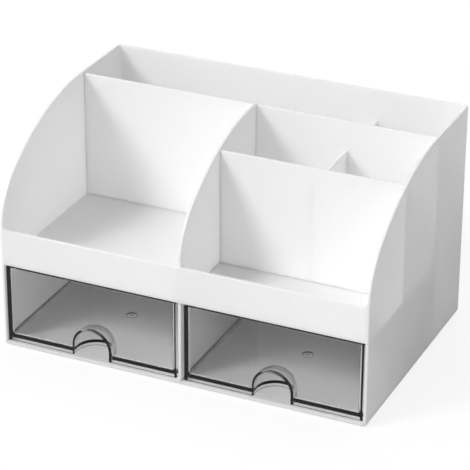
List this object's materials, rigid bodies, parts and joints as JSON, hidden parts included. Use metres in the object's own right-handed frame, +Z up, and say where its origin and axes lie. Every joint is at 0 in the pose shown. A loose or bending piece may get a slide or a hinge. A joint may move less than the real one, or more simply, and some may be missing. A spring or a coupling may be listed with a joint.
{
  "type": "drawer storage box",
  "caption": "White desktop storage box with open compartments behind a low front band and smoked clear drawers with domed finger niches below.",
  "frame": {"origin": "middle of the footprint on the table, level with the undersides of the feet", "axes": "+X to the right seen from the front, +Y to the back, +Z up; the drawers open towards -Y"},
  "size_m": [0.24, 0.16, 0.142],
  "materials": {
    "white_plastic": "fine satin, slightly translucent",
    "smoked_plastic": "polished, clear grey tint",
    "foot_rubber": "matt"
  },
  "bodies": {
    "case": {"body_shell": "white_plastic", "base_plate": "white_plastic", "centre_upright": "white_plastic", "rear_partition": "white_plastic", "centre_partition": "white_plastic", "front_partition": "white_plastic", "mid_divider": "white_plastic", "back_divider": "white_plastic", "foot_front_left": "foot_rubber", "foot_front_right": "foot_rubber", "foot_back_left": "foot_rubber", "foot_back_right": "foot_rubber"},
    "drawer_left": {"drawer_left": "smoked_plastic"},
    "drawer_right": {"drawer_right": "smoked_plastic"}
  },
  "joints": [
    {"name": "drawer_left_slide", "type": "slide", "parent": "case", "child": "drawer_left", "axis": [0, -1, 0], "range_m": [0, 0.085]},
    {"name": "drawer_right_slide", "type": "slide", "parent": "case", "child": "drawer_right", "axis": [0, -1, 0], "range_m": [0, 0.085]}
  ]
}
